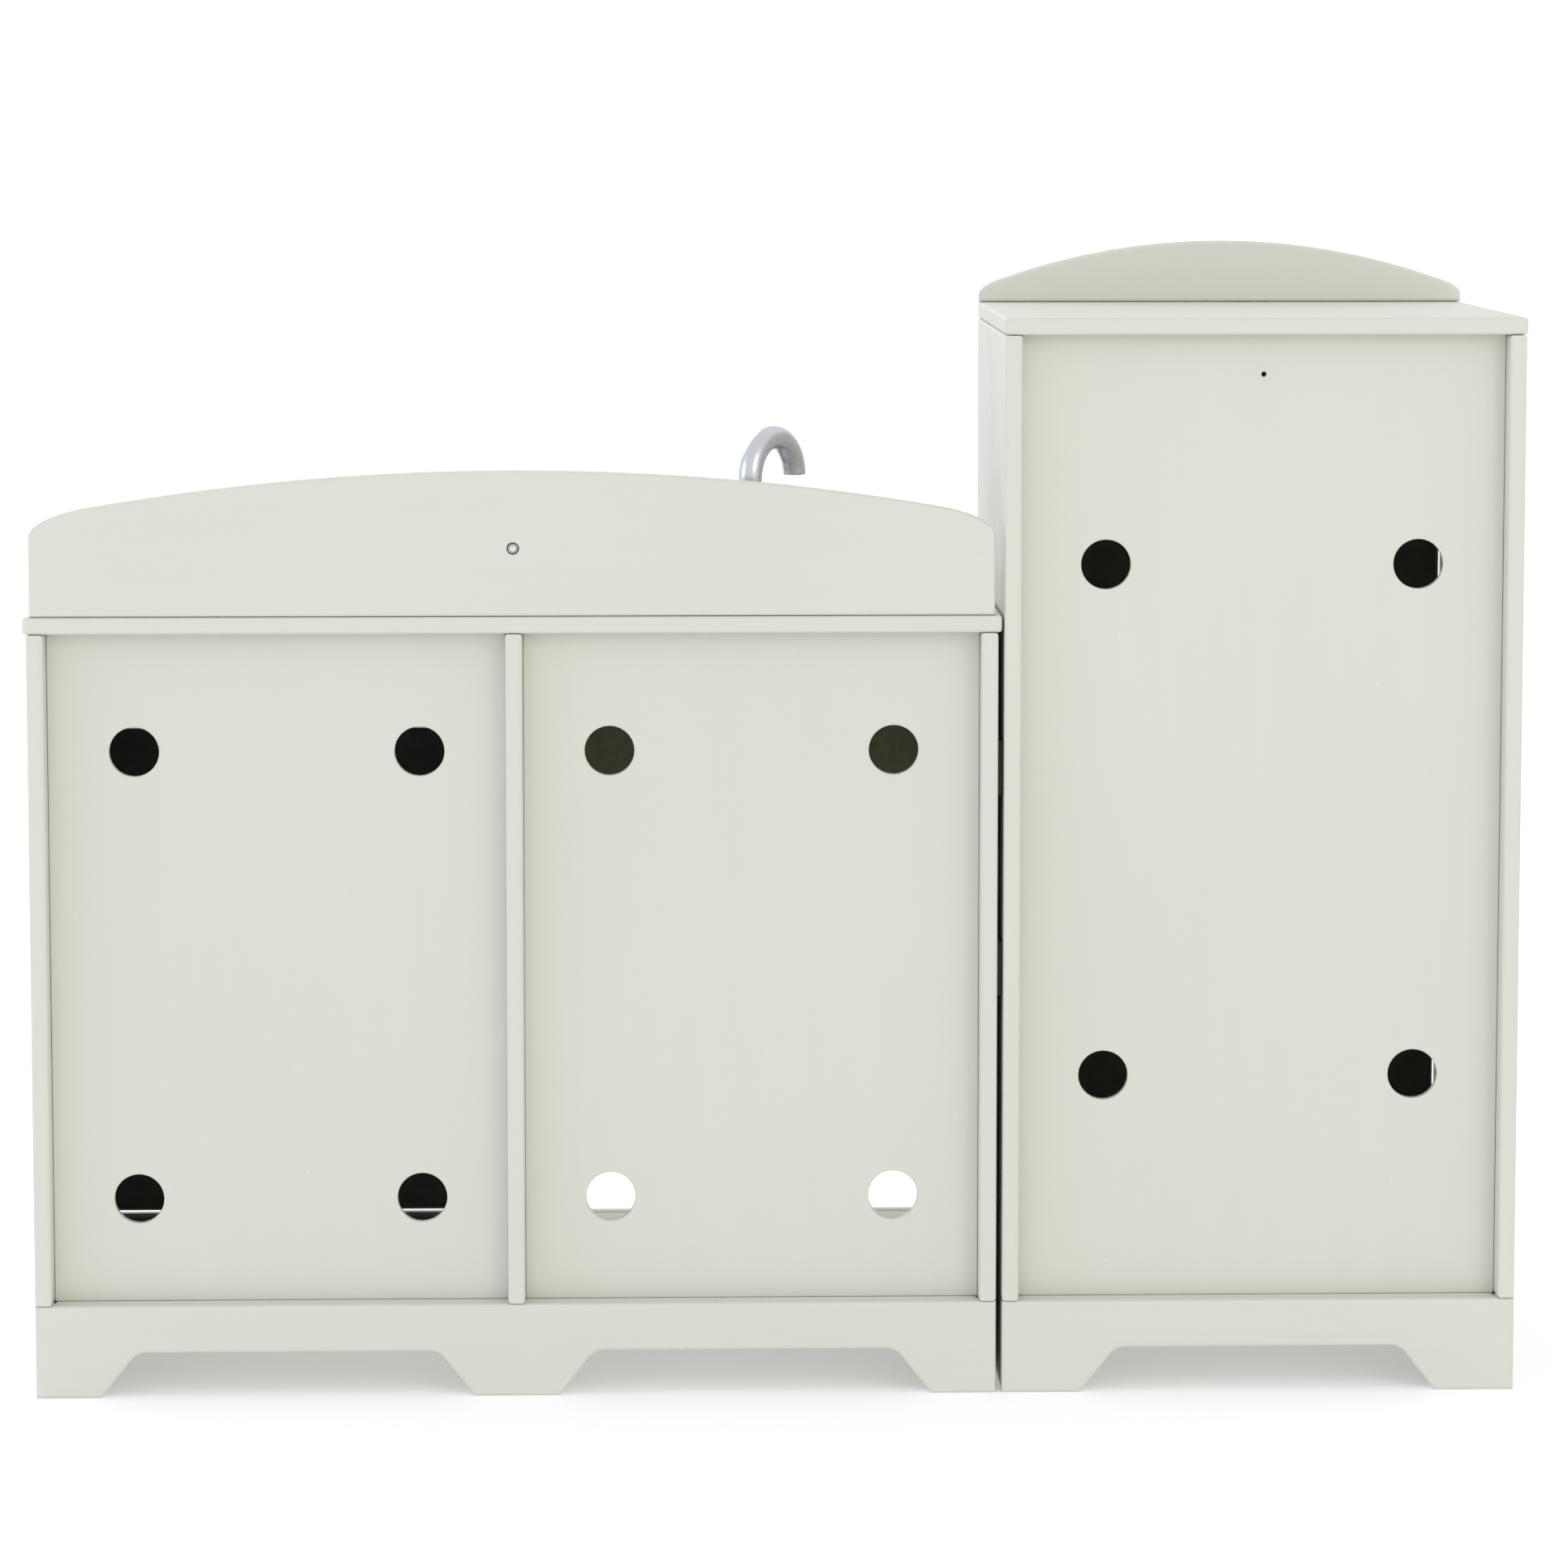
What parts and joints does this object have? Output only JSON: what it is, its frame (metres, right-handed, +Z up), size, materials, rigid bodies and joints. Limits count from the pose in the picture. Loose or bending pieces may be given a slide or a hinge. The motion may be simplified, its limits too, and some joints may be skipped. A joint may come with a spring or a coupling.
{
  "type": "toy kitchen",
  "caption": "Painted wooden play kitchen: a cooker and sink unit with an arched backsplash beside a tall fridge-freezer unit with hinged doors.",
  "frame": {"origin": "on the floor, under the middle of the whole kitchen's bounding box", "axes": "+Z up, the fronts face -Y, +X is to the right of someone who stands in front"},
  "size_m": [1.045, 0.32, 0.805],
  "materials": {
    "cream_paint": "satin cream paint over smooth board",
    "satin_metal": "satin silver",
    "steel": "plain steel",
    "basin_steel": "pressed steel, lightly brushed",
    "hob_black": "gloss black",
    "burner_grey": "matt grey",
    "dark_plastic": "matt charcoal",
    "clear_window": "clear acrylic",
    "spacer_felt": "dark foam"
  },
  "bodies": {
    "cabinet": {"kitchen_plinth_rear": "cream_paint", "kitchen_plinth_front": "cream_paint", "kitchen_plinth_end_left": "cream_paint", "kitchen_plinth_end_right": "cream_paint", "kitchen_base": "cream_paint", "kitchen_side_left": "cream_paint", "kitchen_side_right": "cream_paint", "kitchen_divider": "cream_paint", "countertop": "cream_paint", "backsplash": "cream_paint", "rear_panel_sink": "cream_paint", "rear_panel_stove": "cream_paint", "control_fascia": "cream_paint", "sink_apron": "cream_paint", "oven_pin_left": "steel", "oven_pin_right": "steel", "oven_rack": "steel", "rack_runner_left": "cream_paint", "rack_runner_right": "cream_paint", "hob_plate": "hob_black", "burner_front_left": "burner_grey", "burner_front_right": "burner_grey", "burner_rear_left": "burner_grey", "burner_rear_right": "burner_grey", "faucet_base": "satin_metal", "clock_bolt": "steel", "fridge_plinth_rear": "cream_paint", "fridge_plinth_front": "cream_paint", "fridge_plinth_end_left": "cream_paint", "fridge_plinth_end_right": "cream_paint", "fridge_base": "cream_paint", "fridge_side_left": "cream_paint", "fridge_side_right": "cream_paint", "fridge_top": "cream_paint", "fridge_pediment": "cream_paint", "fridge_rear_panel": "cream_paint", "freezer_divider": "cream_paint", "fridge_shelf": "cream_paint", "hinge_pin_bottom": "steel", "hinge_pin_middle": "steel", "hinge_pin_top": "steel", "spacer_upper": "spacer_felt", "spacer_lower": "spacer_felt"},
    "oven_door": {"oven_door": "cream_paint", "oven_window": "clear_window", "oven_handle": "satin_metal"},
    "fridge_door": {"fridge_door": "cream_paint", "fridge_handle": "satin_metal"},
    "freezer_door": {"freezer_door": "cream_paint", "freezer_handle": "satin_metal"},
    "knob_1": {"knob_1": "dark_plastic"},
    "knob_2": {"knob_2": "dark_plastic"},
    "knob_3": {"knob_3": "dark_plastic"},
    "knob_4": {"knob_4": "dark_plastic"},
    "spout": {"faucet_spout": "satin_metal"},
    "tap_left": {"tap_left": "satin_metal"},
    "tap_right": {"tap_right": "satin_metal"},
    "hour_hand": {"clock_hour_hand": "dark_plastic"},
    "minute_hand": {"clock_minute_hand": "dark_plastic"},
    "basin": {"sink_basin": "basin_steel"}
  },
  "joints": [
    {"name": "oven_door_hinge", "type": "hinge", "parent": "cabinet", "child": "oven_door", "pos_m": [0.34813, -0.129, 0.0735], "axis": [1, 0, 0], "range_deg": [0, 90]},
    {"name": "fridge_door_hinge", "type": "hinge", "parent": "cabinet", "child": "fridge_door", "pos_m": [-0.503, -0.129, 0.293], "axis": [0, 0, -1], "range_deg": [0, 100]},
    {"name": "freezer_door_hinge", "type": "hinge", "parent": "cabinet", "child": "freezer_door", "pos_m": [-0.503, -0.129, 0.6395], "axis": [0, 0, -1], "range_deg": [0, 100]},
    {"name": "knob_1_turn", "type": "hinge", "parent": "cabinet", "child": "knob_1", "pos_m": [0.22822, -0.135, 0.49], "axis": [0, 1, 0], "range_deg": [0, 270]},
    {"name": "knob_2_turn", "type": "hinge", "parent": "cabinet", "child": "knob_2", "pos_m": [0.30816, -0.135, 0.49], "axis": [0, 1, 0], "range_deg": [0, 270]},
    {"name": "knob_3_turn", "type": "hinge", "parent": "cabinet", "child": "knob_3", "pos_m": [0.38809, -0.135, 0.49], "axis": [0, 1, 0], "range_deg": [0, 270]},
    {"name": "knob_4_turn", "type": "hinge", "parent": "cabinet", "child": "knob_4", "pos_m": [0.46803, -0.135, 0.49], "axis": [0, 1, 0], "range_deg": [0, 270]},
    {"name": "spout_swivel", "type": "hinge", "parent": "cabinet", "child": "spout", "pos_m": [0.01638, 0.1, 0.6], "axis": [0, 0, 1], "range_deg": [-35, 105]},
    {"name": "tap_left_turn", "type": "hinge", "parent": "cabinet", "child": "tap_left", "pos_m": [-0.03562, 0.1, 0.56], "axis": [0, 0, 1], "range_deg": [0, 90]},
    {"name": "tap_right_turn", "type": "hinge", "parent": "cabinet", "child": "tap_right", "pos_m": [0.06838, 0.1, 0.56], "axis": [0, 0, -1], "range_deg": [0, 90]},
    {"name": "hour_hand_turn", "type": "hinge", "parent": "cabinet", "child": "hour_hand", "pos_m": [0.18225, 0.146, 0.5995], "axis": [0, 1, 0], "continuous": true},
    {"name": "minute_hand_turn", "type": "hinge", "parent": "cabinet", "child": "minute_hand", "pos_m": [0.18225, 0.144, 0.5995], "axis": [0, 1, 0], "continuous": true},
    {"name": "basin_lift", "type": "slide", "parent": "cabinet", "child": "basin", "axis": [0, 0, 1], "range_m": [0, 0.06]}
  ]
}
